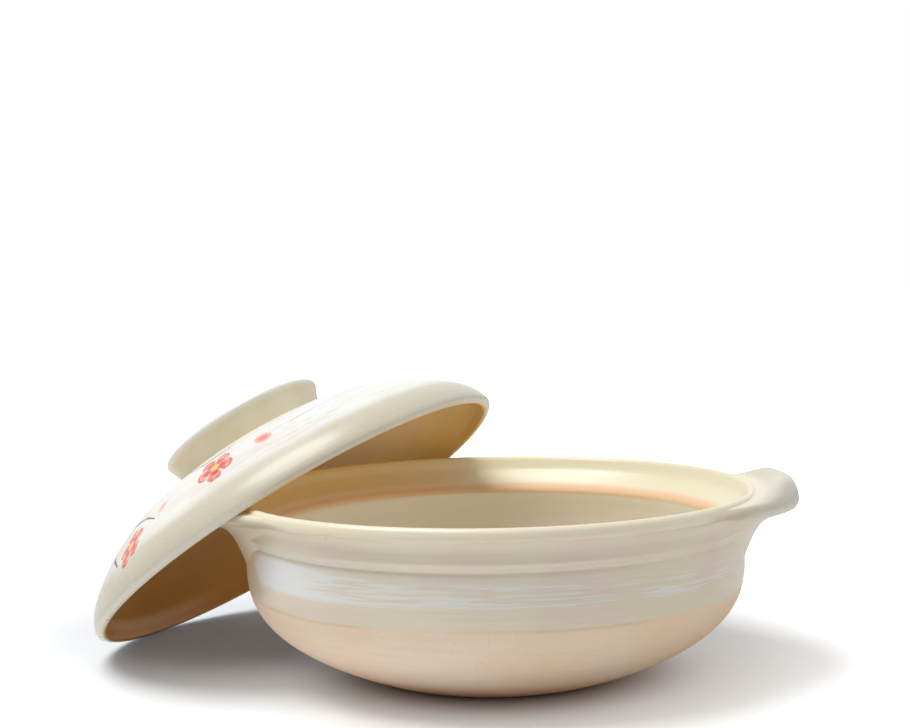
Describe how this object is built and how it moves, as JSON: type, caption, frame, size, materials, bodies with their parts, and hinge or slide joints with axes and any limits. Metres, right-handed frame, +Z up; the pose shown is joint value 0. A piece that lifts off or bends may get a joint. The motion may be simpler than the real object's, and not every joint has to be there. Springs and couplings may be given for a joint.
{
  "type": "clay pot",
  "caption": "Round stoneware cooking pot with a sloping lid seat, lug handles and a domed lid with a ring knob, lid off and leaning on the rim.",
  "frame": {"origin": "centre of the pot's foot on the surface that it stands on", "axes": "+Z up the pot's axis, the two lug handles along X, the leaning lid on the -X side"},
  "size_m": [0.3659, 0.3024, 0.1464],
  "materials": {
    "pot_glaze": "satin ivory glaze down to a wavy line, bare pink-orange clay below it and on the lid seat",
    "handle_glaze": "satin ivory glaze over luted clay lugs",
    "lid_glaze": "satin cream glaze with brushed plum blossoms, brown clay inside",
    "knob_glaze": "satin cream glaze, thin and khaki on the wall of the ring"
  },
  "bodies": {
    "pot": {"pot_body": "pot_glaze", "handle_left": "handle_glaze", "handle_right": "handle_glaze"},
    "lid": {"lid_dome": "lid_glaze", "lid_knob_ring": "knob_glaze"}
  },
  "joints": [
    {"name": "lid_lift", "type": "slide", "parent": "pot", "child": "lid", "axis": [-0.5134, 0.2427, 0.8231], "range_m": [0, 0.12]}
  ]
}
